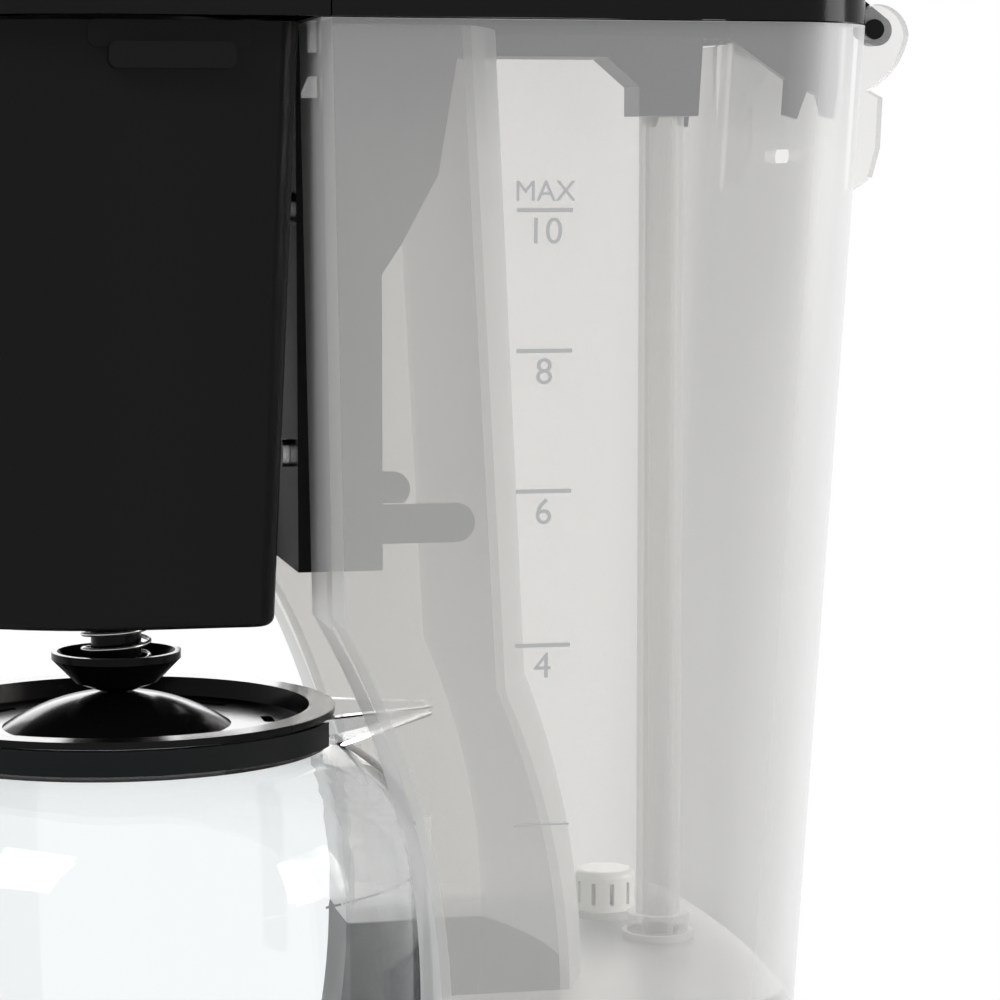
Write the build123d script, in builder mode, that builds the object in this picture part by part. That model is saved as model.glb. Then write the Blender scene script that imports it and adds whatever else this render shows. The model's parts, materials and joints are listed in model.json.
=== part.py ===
from build123d import *
import os
from math import cos, pi, radians, sin, sqrt

# A filter coffee maker with a clear water tank that wraps round its carafe.
# Lengths are in millimetres. Z is up and 0 is the table. The front faces -Y.
# Everything is drawn about the carafe's own upright axis, and each finished
# piece is set back at the end, so that the origin lies under the middle.

os.makedirs("parts", exist_ok=True)

# The body, from the table up
foot_height = 4.0
foot_radius = 8.0
base_half_width = 68.5
base_rear = 140.0
joint_z = 127.0
joint_half_width = 64.5
joint_rear = 137.0
rim_z = 326.0
rim_half_width = 68.5
rim_rear = 147.6
rear_bow_low = 5.0
rear_bow_top = 2.4
corner_radius = 20.0
deck_z = 46.0
part_gap = 0.3

# The curve that is cut back round the carafe, seen from the side
cut_radius = 162.0
cut_deepest_y = 57.3
cut_middle_z = 128.0
wing_corner_z = 209.0
wing_front_top = 33.4
bay_half_width = 40.0
bay_radius_top = 77.4
bay_radius_knee = 83.5
bay_knee_z = 192.0
bay_radius_deep = 95.5
belly_room = 70.5
belly_room_top = 165.0

# Walls
base_wall = 2.6
tank_wall = 2.4
tank_floor = 3.0
cover_wall = 2.4

# Tank lid and the fixed cover in front of it
cover_height = 10.4
cover_split_y = 35.4
cover_edge_round = 4.0
ear_x = 46.0
ear_thickness = 3.2
ear_back = 7.4
ear_top = 5.0
ear_drop = 14.2
hinge_y = 149.6
hinge_z = 325.7
hinge_pin_radius = 2.0
hinge_clearance = 0.08

# Riser pipe, its hood and the spray parts
riser_y = 118.0
riser_radius = 4.8
riser_bore = 3.4
riser_foot_radius = 6.8
riser_foot_height = 4.0
hood_front = 111.4
hood_back = 124.4
hood_half_width = 6.6
hood_bottom = 309.0
duct_bottom = 321.2
duct_half_width = 9.0
duct_wall = 1.4
spray_radius = 27.0
spray_thickness = 1.8
spray_hole_radius = 1.6
spray_rings = ((9.0, 6), (18.0, 12))

# Bracket between the wings
bracket_half_width = 37.6
bracket_front = 33.2
bracket_wall = 2.6
bracket_bottom = 217.0
bracket_arm_z = 226.4
bracket_arm_half = 4.0
bracket_arm_tip = 69.4
bracket_top = 320.6
bracket_shelf_rear = 66.0
bracket_rear = 50.4
lug_root = 14.0
screw_xs = (-24.0, 24.0)
screw_zs = (240.0, 290.0)
hinge_lug_height = 5.0
hinge_lug_radius = 6.2
bracket_screw_radius = 2.0

# Filter holder
holder_top = 325.6
holder_bottom = 208.4
holder_half_width_top = 60.0
holder_half_width_low = 55.0
holder_rear_top = 31.2
holder_rear_low = 26.4
holder_corner = 5.0
holder_wall = 2.2
holder_floor = 3.0
swing_x = -54.0
swing_y = 25.4
swing_pin_radius = 2.0
swing_clearance = 0.08
swing_barrel_radius = 4.6
holder_edge_round = 2.0
stem_guide = 2.0
grip_y = 6.0
grip_tongue_half = 15.6
grip_tongue_height = 5.2
grip_tongue_proud = 1.0
grip_lip_half = 12.0
grip_lip_reach = 5.0
grip_lip_height = 5.0

# Filter basket
basket_wall = 1.6
basket_rim_height = 1.6
basket_corner = 9.0
basket_foot_half = 24.0
basket_slots = 6

# Drip stop
valve_stem_radius = 5.3
valve_clearance = 0.08
valve_cup_radius = 13.6
valve_cup_rim = 197.0
valve_cup_bottom = 188.8
valve_foot_radius = 4.3
valve_head_radius = 9.0
valve_head_height = 3.0
valve_travel = 3.0
spring_wire = 0.9
spring_radius = 7.0
spring_turns = 5
valve_seal_height = 1.2
valve_port_height = 2.2
valve_port_land = 0.2
valve_port_width = 2.4
cup_wall = 1.2

# Carafe
glass_wall = 2.2
glass_bottom_z = 49.0
glass_foot_radius = 50.0
glass_heel_radius = 64.4
glass_heel_z = 72.0
glass_belly_radius = 66.5
glass_belly_z = 112.0
glass_shoulder_radius = 65.4
glass_shoulder_z = 152.0
glass_neck_radius = 44.4
glass_neck_z = 177.0
glass_rim_z = 183.4
spout_root_y = 38.0
spout_tip_y = 67.0
spout_root_half = 17.0
spout_tip_half = 4.5
spout_root_z = 173.5
spout_tip_z = 181.0
collar_gap = 0.15
lug_half = 6.0
lug_reach = 20.0
lug_screw_back = 7.0
collar_thickness = 2.0
collar_bottom_z = 178.4
handle_reach = 111.0
handle_width = 22.0
handle_thickness = 11.0
handle_top_z = 186.0
handle_bottom_z = 84.0
handle_screw_radius = 2.0

# Carafe lid
lid_rim_radius = 45.9
lid_rim_top = 185.2
lid_rim_slope = 0.8
lid_plug_depth = 9.0
lid_plate = 2.2
lid_dish_z = 181.2
dome_radius = 24.0
dome_top_z = 188.5
lid_fit_gap = 0.3
lid_slots = 8
lid_slot_radius = 32.0

# Hot plate and heater
plate_radius = 60.0
plate_top = 48.6
plate_thickness = 1.6
plate_skirt = 6.0
seal_width = 2.4
heater_leg_x = 36.0
heater_leg_back = 82.0
heater_radius = 5.0
heater_bore = 3.6
hose_radius = 6.6
hose_bend = 13.0
hose_drop_y = 112.0
outlet_x = -24.0
valve_body_radius = 8.6
valve_body_height = 22.0
clip_width = 5.0
clip_thickness = 1.0
screw_radius = 1.8
screw_head_radius = 3.4
screw_head_height = 1.8
screw_length = 12.0
screw_fit = 0.05
boss_radius = 5.6
boss_height = 15.0

# Switch, cord inlet and base plate
rocker_z = 25.0
rocker_tilt = 7.0
rocker_play = 0.8
rocker_half_width = 7.0
rocker_half_height = 9.0
rocker_depth = 7.0
rocker_pin_radius = 1.2
switch_depth = 18.0
inlet_x = -34.0
inlet_z = 22.0
inlet_radius = 6.0
inlet_bore = 3.6
base_plate_thickness = 2.4
bezel_wall = 2.0
seal_thickness = 1.5
strainer_height = 9.0
strainer_slots = 10
arm_thickness = 4.0
arm_root = 14.0
arm_end = 4.2
arm_under = 2.6
rib_x = 55.0
rib_thickness = 2.4
rib_front = 116.7
rib_rear = 139.4
rib_outline = (
    (rib_front, 323.4),
    (128.7, 315.2),
    (128.3, 308.3),
    (130.9, 307.5),
    (133.0, 313.2),
    (135.2, 312.1),
    (136.4, 308.0),
    (138.6, 307.6),
    (rib_rear, 314.3),
)
vent_pitch = 18.0
vent_width = 3.0
foot_inset = 12.0
plate_roll = 6.0
plate_ridge = 0.3
seal_fit = 0.15
clamp_width = 12.0
clamp_thickness = 1.2
thermostat_radius = 7.0
thermostat_height = 8.0
fuse_radius = 2.5
fuse_length = 12.0
hose_fit = 0.1
hose_overlap = 14.0

# Snap hooks and overflow slot of the tank
hook_x = 63.2
hook_width = 3.4
hook_tab_y = 32.0
hook_tip_y = 30.7
hook_tab_height = 6.4
hook_high = 315.0
hook_low = 311.0
overflow_z = 300.5
overflow_height = 3.0
overflow_width = 18.0

# Side outline of the thin tail below each hinge ear
tail_outline = (
    (151.6, 312.0),
    (151.2, 302.0),
    (149.6, 296.0),
    (146.0, 293.5),
    (143.0, 293.5),
)

middle_y = (hinge_y + ear_back - handle_reach) / 2


def blend_between(low, high, share):
    """The value that lies a share of the way from low to high."""
    return low + (high - low) * share


def body_size(z):
    """Half width, rear end and rear bow of the body at height z."""
    if z >= rim_z:
        return rim_half_width, rim_rear, rear_bow_top
    if z >= joint_z:
        share = (z - joint_z) / (rim_z - joint_z)
        return (
            blend_between(joint_half_width, rim_half_width, share),
            blend_between(joint_rear, rim_rear, share),
            blend_between(rear_bow_low, rear_bow_top, share),
        )
    share = (z - foot_height) / (joint_z - foot_height)
    return (
        blend_between(base_half_width, joint_half_width, share),
        blend_between(base_rear, joint_rear, share),
        rear_bow_low,
    )


def body_plan(z, inset=0.0):
    """The body's outline at height z: a round front, straight sides and a bowed rear."""
    half, rear, bow = body_size(z)
    half = half - inset
    rear = rear - inset
    with BuildSketch(Plane.XY.offset(z)) as plan:
        with BuildLine():
            Line((half, 0), (half, rear - bow))
            ThreePointArc((half, rear - bow), (0, rear), (-half, rear - bow))
            Line((-half, rear - bow), (-half, 0))
            ThreePointArc((-half, 0), (0, -half), (half, 0))
        make_face()
        fillet(plan.vertices().group_by(Axis.Y)[-1], radius=corner_radius - inset)
    return plan.sketch


def carafe_bay(inset=0.0):
    """The hollow round the carafe between the two wings, from the deck to the rim."""
    low = deck_z - inset
    high = rim_z + cover_height
    mirror_knee = 2 * cut_middle_z - bay_knee_z
    with BuildPart() as bay:
        with BuildSketch(Plane.XZ):
            with BuildLine():
                Polyline(
                    (0, high),
                    (0, low),
                    (bay_radius_knee + inset, low),
                    (bay_radius_knee + inset, mirror_knee),
                )
                ThreePointArc(
                    (bay_radius_knee + inset, mirror_knee),
                    (bay_radius_deep + inset, cut_middle_z),
                    (bay_radius_knee + inset, bay_knee_z),
                )
                Polyline(
                    (bay_radius_knee + inset, bay_knee_z),
                    (bay_radius_top + inset, rim_z),
                    (bay_radius_top + inset, high),
                    (0, high),
                )
            make_face()
        revolve(axis=Axis.Z)
        with BuildSketch(Plane.XY.offset(low)):
            Rectangle(2 * (bay_half_width + inset), 4 * bay_radius_deep)
        extrude(amount=high - low, mode=Mode.INTERSECT)
    return bay.part


def front_cut(inset=0.0):
    """All that is cut away in front of the wings: an arc below, a near upright line above."""
    centre_y = cut_deepest_y - cut_radius
    radius = cut_radius + inset
    low = deck_z - inset
    high = rim_z + cover_height
    low_y = centre_y + sqrt(radius**2 - (low - cut_middle_z) ** 2)
    corner_y = centre_y + sqrt(radius**2 - (wing_corner_z - cut_middle_z) ** 2)
    far_front = -2 * base_half_width
    with BuildPart() as cut:
        with BuildSketch(Plane.YZ):
            with BuildLine():
                Polyline(
                    (wing_front_top + inset, high),
                    (far_front, high),
                    (far_front, low),
                    (low_y, low),
                )
                ThreePointArc((low_y, low), (centre_y + radius, cut_middle_z), (corner_y, wing_corner_z))
                Line((corner_y, wing_corner_z), (wing_front_top + inset, high))
            make_face()
        extrude(amount=2 * base_half_width, both=True)
        with BuildSketch(Plane.XY.offset(low)):
            Circle(belly_room + inset)
        extrude(amount=belly_room_top + 2 * inset - deck_z)
    return cut.part


def body_block(low, high, inset=0.0):
    """A slice of the body between two heights, with the bay and the front cut away."""
    with BuildPart() as block:
        add(body_plan(low, inset))
        add(body_plan(high, inset))
        loft()
        add(carafe_bay(inset), mode=Mode.SUBTRACT)
        add(front_cut(inset), mode=Mode.SUBTRACT)
    return block.part


def keep(piece, name):
    """Label a finished piece, set it back by the middle of the whole and write it out."""
    moved = piece.moved(Location((0, -middle_y, 0)))
    moved.label = name
    export_step(moved, f"parts/{name}.step")


# Base shell: a low round-fronted box under the carafe and a column up to the tank
plate_hole_radius = plate_radius + seal_width
shell_top = joint_z - part_gap
boss_low = foot_height + base_plate_thickness
boss_ring = base_half_width - base_wall - boss_radius + 0.5
boss_front = boss_ring * sin(radians(45))
boss_side = base_half_width - base_wall - boss_radius
boss_rear = base_rear - 1.6 * corner_radius
boss_spots = [
    (boss_front, -boss_front),
    (-boss_front, -boss_front),
    (boss_side, boss_rear),
    (-boss_side, boss_rear),
]
outlet_hole = hose_radius + part_gap
with BuildPart() as base_shell:
    add(body_block(foot_height, shell_top))
    add(body_block(foot_height - 1, shell_top - base_wall, base_wall), mode=Mode.SUBTRACT)
    with BuildSketch(Plane.XY.offset(deck_z - base_wall - 1)):
        Circle(plate_hole_radius)
    extrude(amount=base_wall + 2, mode=Mode.SUBTRACT)
    with BuildSketch(Plane.XY.offset(shell_top - 2 * base_wall)):
        with Locations((0, riser_y), (outlet_x, hose_drop_y)):
            Circle(outlet_hole)
    extrude(amount=3 * base_wall, mode=Mode.SUBTRACT)
    with BuildSketch(Plane.XY.offset(boss_low)):
        with Locations(*boss_spots):
            Circle(boss_radius)
    extrude(amount=boss_height)
    with BuildSketch(Plane.XY.offset(boss_low)):
        with Locations(*boss_spots):
            Circle(screw_radius + screw_fit)
    extrude(amount=screw_length, mode=Mode.SUBTRACT)
    # Square hole for the switch in the front wall, and a round one for the cord inlet
    with BuildSketch(Plane.XZ.offset(base_half_width - 3 * base_wall)):
        with Locations((0, rocker_z)):
            Rectangle(2 * (rocker_half_width + bezel_wall), 2 * (rocker_half_height + bezel_wall))
    extrude(amount=5 * base_wall, mode=Mode.SUBTRACT)
    with BuildSketch(Plane.XZ.offset(-base_rear - 1)):
        with Locations((inlet_x, inlet_z)):
            Circle(inlet_radius + part_gap)
    extrude(amount=6 * base_wall, mode=Mode.SUBTRACT)
keep(base_shell.part, "base_shell")

# Base plate that closes the shell from below, with vents, and the four feet under it
plate_inset = base_wall + part_gap
with BuildPart() as base_plate:
    add(body_plan(foot_height, plate_inset))
    extrude(amount=base_plate_thickness)
    with BuildSketch(Plane.XY.offset(foot_height)):
        with Locations(*boss_spots):
            Circle(screw_radius + part_gap)
    extrude(amount=base_plate_thickness, mode=Mode.SUBTRACT)
    with BuildSketch(Plane.XY.offset(foot_height)):
        with Locations(*boss_spots):
            Circle(screw_head_radius + part_gap)
    extrude(amount=screw_head_height / 2, mode=Mode.SUBTRACT)
    with BuildSketch(Plane.XY.offset(foot_height)):
        with Locations((0, riser_y / 2)):
            with GridLocations(vent_pitch, 2 * vent_pitch, 3, 3):
                SlotOverall(vent_pitch - vent_width, vent_width)
    extrude(amount=base_plate_thickness, mode=Mode.SUBTRACT)
keep(base_plate.part, "base_plate")

foot_spots = [
    (boss_front - foot_inset, -boss_front + foot_inset),
    (-boss_front + foot_inset, -boss_front + foot_inset),
    (boss_side - foot_inset, boss_rear + foot_inset / 2),
    (-boss_side + foot_inset, boss_rear + foot_inset / 2),
]
with BuildPart() as feet:
    with BuildSketch():
        with Locations(*foot_spots):
            Circle(foot_radius)
    extrude(amount=foot_height)
    fillet(feet.edges().group_by(Axis.Z)[0], radius=foot_height / 5)
keep(feet.part, "feet")

head_low = foot_height + screw_head_height / 2 - screw_head_height
with BuildPart() as base_screws:
    with BuildSketch(Plane.XY.offset(head_low)):
        with Locations(*boss_spots):
            Circle(screw_head_radius)
    extrude(amount=screw_head_height)
    with BuildSketch(Plane.XY.offset(head_low)):
        with Locations(*boss_spots):
            Circle(screw_radius)
    extrude(amount=screw_length - 1)
    with BuildSketch(Plane.XY.offset(head_low)):
        with Locations(*boss_spots):
            SlotOverall(1.4 * screw_head_radius, 0.8)
            SlotOverall(1.4 * screw_head_radius, 0.8, rotation=90)
    extrude(amount=screw_head_height / 2, mode=Mode.SUBTRACT)
keep(base_screws.part, "base_screws")

# Hot plate: a pressed steel dish on a silicone ring in the deck
plate_low = plate_top - plate_thickness
with BuildPart() as hot_plate:
    with BuildSketch(Plane.XZ):
        with BuildLine():
            Polyline(
                (0, plate_top),
                (plate_radius - plate_roll, plate_top),
                (plate_radius - plate_roll / 2, plate_top + plate_ridge),
                (plate_radius, plate_top),
                (plate_radius, plate_top - plate_skirt),
                (plate_radius - plate_thickness, plate_top - plate_skirt),
                (plate_radius - plate_thickness, plate_low),
                (0, plate_low),
                (0, plate_top),
            )
        make_face()
    revolve(axis=Axis.Z)
keep(hot_plate.part, "hot_plate")

with BuildPart() as plate_seal:
    with BuildSketch(Plane.XY.offset(plate_top - plate_skirt)):
        Circle(plate_hole_radius - seal_fit)
        Circle(plate_radius + seal_fit, mode=Mode.SUBTRACT)
    extrude(amount=plate_skirt - 1)
    with BuildSketch(Plane.XY.offset(deck_z)):
        Circle(plate_hole_radius + 1)
        Circle(plate_radius + seal_fit, mode=Mode.SUBTRACT)
    extrude(amount=0.8)
keep(plate_seal.part, "plate_seal")

# Heating tube: a U under the hot plate, with its clamp, thermostat and fuse
heater_z = deck_z - base_wall - hose_radius - hose_fit - clip_thickness - 0.6
with BuildPart() as heating_tube:
    with BuildLine() as heater_path:
        Line((-heater_leg_x, heater_leg_back, heater_z), (-heater_leg_x, 0, heater_z))
        ThreePointArc(
            (-heater_leg_x, 0, heater_z),
            (0, -heater_leg_x, heater_z),
            (heater_leg_x, 0, heater_z),
        )
        Line((heater_leg_x, 0, heater_z), (heater_leg_x, heater_leg_back, heater_z))
    with BuildSketch(Plane(origin=(-heater_leg_x, heater_leg_back, heater_z), z_dir=(0, -1, 0))):
        Circle(heater_radius)
        Circle(heater_bore, mode=Mode.SUBTRACT)
    sweep(path=heater_path.wire())
keep(heating_tube.part, "heating_tube")

clamp_low = heater_z - heater_radius - part_gap
with BuildPart() as heater_clamp:
    with BuildSketch(Plane.XY.offset(clamp_low - clamp_thickness)):
        RectangleRounded(2 * heater_leg_x, clamp_width, clamp_width / 4)
        Rectangle(clamp_width, clamp_width)
    extrude(amount=clamp_thickness)
    with BuildSketch(Plane.XY.offset(clamp_low)):
        Circle(clamp_width / 3)
    extrude(amount=plate_low - clamp_low)
keep(heater_clamp.part, "heater_clamp")

with BuildPart() as thermostat:
    with BuildSketch(Plane.XY.offset(plate_low - thermostat_height)):
        with Locations((0, -heater_leg_x / 2)):
            Circle(thermostat_radius)
    extrude(amount=thermostat_height)
    with BuildSketch(Plane.XY.offset(plate_low - thermostat_height - 3)):
        with Locations((-thermostat_radius / 2, -heater_leg_x / 2), (thermostat_radius / 2, -heater_leg_x / 2)):
            Rectangle(1, 3)
    extrude(amount=3)
keep(thermostat.part, "thermostat")

with BuildPart() as thermal_fuse:
    with BuildSketch(Plane.XZ.offset(-heater_leg_x / 2 + fuse_length / 2)):
        with Locations((0, plate_low - fuse_radius)):
            Circle(fuse_radius)
    extrude(amount=-fuse_length)
keep(thermal_fuse.part, "thermal_fuse")

# Heat spreader: a U of aluminium that fills the space from the tube to the plate
with BuildPart() as heat_spreader:
    with BuildSketch(Plane.XY.offset(heater_z + heater_radius)):
        with Locations((0, heater_leg_x)):
            SlotCenterToCenter(2 * heater_leg_x, 2 * (heater_leg_x + heater_radius), rotation=90)
            SlotCenterToCenter(
                2 * heater_leg_x, 2 * (heater_leg_x - heater_radius), rotation=90, mode=Mode.SUBTRACT
            )
        with Locations((0, heater_leg_x)):
            Rectangle(4 * heater_leg_x, 4 * heater_leg_x, align=(Align.CENTER, Align.MIN), mode=Mode.SUBTRACT)
    extrude(amount=plate_low - heater_z - heater_radius)
keep(heat_spreader.part, "heat_spreader")

# Cold side: tank outlet, one-way valve and hose; hot side: hose up to the riser
valve_top = shell_top - base_wall - 4
valve_low = valve_top - valve_body_height
with BuildPart() as one_way_valve:
    with BuildSketch(Plane.XY.offset(valve_low)):
        with Locations((outlet_x, hose_drop_y)):
            Circle(valve_body_radius)
    extrude(amount=valve_body_height)
    chamfer(one_way_valve.edges().filter_by(GeomType.CIRCLE), length=1)
    with BuildSketch(Plane.XY.offset(valve_low)):
        with Locations((outlet_x, hose_drop_y)):
            Circle(heater_bore)
    extrude(amount=valve_body_height, mode=Mode.SUBTRACT)
keep(one_way_valve.part, "one_way_valve")


def hose(points):
    """A hose from the first point to the last, bent evenly at the points between."""
    with BuildPart() as tube:
        with BuildLine() as route:
            FilletPolyline(*points, radius=hose_bend)
        start = Vector(*points[0])
        along = Vector(*points[1]) - start
        with BuildSketch(Plane(origin=start, z_dir=along)):
            Circle(hose_radius)
            Circle(heater_radius + hose_fit, mode=Mode.SUBTRACT)
        sweep(path=route.wire())
    return tube.part


hose_start = heater_leg_back - hose_overlap
hose_turn = hose_drop_y
inlet_hose = hose([
    (-heater_leg_x, hose_start, heater_z),
    (-heater_leg_x, hose_turn, heater_z),
    (outlet_x, hose_turn, heater_z + 2 * hose_bend + 4),
    (outlet_x, hose_turn, valve_low),
])
keep(inlet_hose, "inlet_hose")

tank_low = joint_z
riser_low = tank_low - hose_overlap
outlet_hose = hose([
    (heater_leg_x, hose_start, heater_z),
    (heater_leg_x, riser_y, heater_z),
    (0, riser_y, heater_z + 2 * hose_bend + 8),
    (0, riser_y, tank_low - 1),
])
keep(outlet_hose, "outlet_hose")

with BuildPart() as hose_clips:
    for clip_x in (-heater_leg_x, heater_leg_x):
        with BuildSketch(Plane.XZ.offset(-hose_start - hose_overlap / 4)):
            with Locations((clip_x, heater_z)):
                Circle(hose_radius + hose_fit + clip_thickness)
                Circle(hose_radius + hose_fit, mode=Mode.SUBTRACT)
                with Locations((0, -hose_radius - clip_thickness - 2)):
                    Rectangle(4, 6)
        extrude(amount=-clip_width)
keep(hose_clips.part, "hose_clips")

# Water tank: an open tapered box whose two wings reach forward beside the carafe
ear_low_z = hinge_z - ear_drop
with BuildPart() as tank:
    add(body_block(tank_low, rim_z))
    add(body_block(tank_low + tank_floor, rim_z + 1, tank_wall), mode=Mode.SUBTRACT)
    # Notch in the middle of the inner wall for the hot water duct
    with BuildSketch(Plane.XZ.offset(-bay_radius_top / 2)):
        with Locations((0, rim_z)):
            Rectangle(2 * (duct_half_width + part_gap), 2 * (rim_z - duct_bottom + part_gap))
    extrude(amount=-bay_radius_top, mode=Mode.SUBTRACT)
    # Holes for the riser and the outlet, with a raised rim round the riser
    with BuildSketch(Plane.XY.offset(tank_low)):
        with Locations((0, riser_y), (outlet_x, hose_drop_y)):
            Circle(riser_radius + part_gap)
    extrude(amount=tank_floor, mode=Mode.SUBTRACT)
    # Hinge ears behind the rear wall
    for side in (-1, 1):
        with BuildSketch(Plane.YZ.offset(side * ear_x - ear_thickness / 2)):
            with BuildLine():
                Polyline(
                    (rim_rear - 2 * tank_wall, ear_low_z),
                    (rim_rear - 2 * tank_wall, hinge_z),
                    (hinge_y, hinge_z + ear_top),
                )
                ThreePointArc(
                    (hinge_y, hinge_z + ear_top),
                    (hinge_y + 0.74 * ear_back, hinge_z + 0.62 * ear_top),
                    (hinge_y + ear_back, hinge_z - ear_top / 4),
                )
                ThreePointArc(
                    (hinge_y + ear_back, hinge_z - ear_top / 4),
                    (hinge_y + ear_back / 2, hinge_z - 0.62 * ear_drop),
                    (rim_rear - 2 * tank_wall, ear_low_z),
                )
            make_face()
            with Locations((hinge_y, hinge_z)):
                Circle(hinge_pin_radius + hinge_clearance, mode=Mode.SUBTRACT)
        extrude(amount=ear_thickness)
    # Snap hook beside the holder on each wing: a tab at the rim and a wedge below it
    for side in (-1, 1):
        with BuildSketch(Plane.YZ.offset(side * hook_x - hook_width / 2)):
            Polygon(
                (wing_front_top + tank_wall, rim_z - 0.6),
                (hook_tab_y, rim_z - 0.6),
                (hook_tab_y, rim_z - hook_tab_height),
                (wing_front_top + tank_wall, rim_z - hook_tab_height),
                align=None,
            )
            Polygon(
                (wing_front_top + tank_wall, hook_high),
                (hook_tab_y, hook_high),
                (hook_tip_y, hook_low + 1),
                (hook_tip_y, hook_low),
                (wing_front_top + tank_wall, hook_low),
                align=None,
            )
        extrude(amount=hook_width)
    # Thin tail below each ear, and the overflow slot in the middle of the rear wall
    for side in (-1, 1):
        with BuildSketch(Plane.YZ.offset(side * ear_x - ear_thickness / 2)):
            Polygon((rim_rear - 2 * tank_wall, ear_low_z + ear_top), *tail_outline, align=None)
        extrude(amount=ear_thickness)
    with BuildSketch(Plane.XZ.offset(-rim_rear - tank_wall)):
        with Locations((0, overflow_z)):
            SlotOverall(overflow_width, overflow_height)
    extrude(amount=4 * tank_wall, mode=Mode.SUBTRACT)
keep(tank.part, "tank")

# Riser pipe with its foot on the tank floor, the seals, and the hood on its top
floor_top = tank_low + tank_floor
with BuildPart() as riser_tube:
    with BuildSketch(Plane.XY.offset(riser_low)):
        with Locations((0, riser_y)):
            Circle(riser_radius)
    extrude(amount=hood_bottom + 8 - riser_low)
    with BuildSketch(Plane.XY.offset(floor_top + seal_thickness)):
        with Locations((0, riser_y)):
            Circle(riser_foot_radius)
    extrude(amount=riser_foot_height)
    with BuildSketch(Plane.XY.offset(riser_low)):
        with Locations((0, riser_y)):
            Circle(riser_bore)
    extrude(amount=hood_bottom + 8 - riser_low, mode=Mode.SUBTRACT)
keep(riser_tube.part, "riser_tube")

with BuildPart() as tank_seals:
    with BuildSketch(Plane.XY.offset(floor_top)):
        with Locations((0, riser_y)):
            Circle(riser_foot_radius + 1)
            Circle(riser_radius + seal_fit, mode=Mode.SUBTRACT)
        with Locations((outlet_x, hose_drop_y)):
            Circle(riser_foot_radius + 1)
            Circle(riser_radius, mode=Mode.SUBTRACT)
    extrude(amount=seal_thickness)
keep(tank_seals.part, "tank_seals")

# Strainer over the outlet: a slotted cap that keeps scale out of the valve
with BuildPart() as tank_strainer:
    with BuildSketch(Plane.XY.offset(floor_top + seal_thickness)):
        with Locations((outlet_x, hose_drop_y)):
            Circle(riser_foot_radius)
    extrude(amount=strainer_height)
    fillet(tank_strainer.edges().group_by(Axis.Z)[-1], radius=1.5)
    with BuildSketch(Plane.XY.offset(floor_top + seal_thickness)):
        with Locations((outlet_x, hose_drop_y)):
            Circle(riser_radius)
    extrude(amount=strainer_height - 1.5, mode=Mode.SUBTRACT)
    with BuildSketch(Plane.XY.offset(floor_top + seal_thickness + 1.5)):
        with Locations((outlet_x, hose_drop_y)):
            with PolarLocations(riser_foot_radius, strainer_slots):
                Rectangle(riser_foot_radius, 1)
    extrude(amount=strainer_height - 4, mode=Mode.SUBTRACT)
keep(tank_strainer.part, "tank_strainer")

duct_end_y = cover_split_y + part_gap
hood_top = rim_z - part_gap
with BuildPart() as riser_hood:
    with BuildSketch(Plane.YZ.offset(-hood_half_width)):
        with BuildLine():
            Polyline(
                (hood_front, hood_bottom),
                (hood_back, hood_bottom),
                (hood_back + 1, hood_top),
                (duct_end_y, hood_top),
                (duct_end_y, duct_bottom),
                (hood_front - 7, duct_bottom),
                (hood_front, duct_bottom - 6),
                (hood_front, hood_bottom),
            )
        make_face()
    extrude(amount=2 * hood_half_width)
    with BuildSketch(Plane.XY.offset(duct_bottom)):
        with Locations((0, (duct_end_y + hood_front - 7) / 2)):
            Rectangle(2 * duct_half_width, hood_front - 7 - duct_end_y)
    extrude(amount=hood_top - duct_bottom)
    with BuildSketch(Plane.XY.offset(hood_bottom)):
        with Locations((0, riser_y)):
            Circle(riser_radius + seal_fit)
    extrude(amount=10, mode=Mode.SUBTRACT)
    with BuildSketch(Plane.XY.offset(duct_bottom + duct_wall)):
        with Locations((0, (duct_end_y + riser_y) / 2)):
            Rectangle(2 * (hood_half_width - duct_wall), riser_y - duct_end_y)
    extrude(amount=hood_top - duct_bottom - 2 * duct_wall, mode=Mode.SUBTRACT)
keep(riser_hood.part, "riser_hood")

# Lid of the tank: a hollow cap hinged on two arms whose pegs turn in the ears
cover_low = rim_z + part_gap
cover_high = rim_z + cover_height


def cover_shell(inset, low, high, split_y, front):
    """A slice of the top covers: the body's plan, rounded above, in front of or behind a line."""
    with BuildPart() as shell:
        add(body_plan(rim_z, inset).moved(Location((0, 0, low - rim_z))))
        extrude(amount=high - low)
        fillet(shell.edges().group_by(Axis.Z)[-1], radius=cover_edge_round - inset / 2)
        with BuildSketch(Plane.XY.offset(low)):
            with Locations((0, split_y)):
                Rectangle(4 * rim_half_width, 4 * rim_rear, align=(Align.CENTER, Align.MIN if front else Align.MAX))
        extrude(amount=high - low, mode=Mode.SUBTRACT)
    return shell.part


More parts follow.
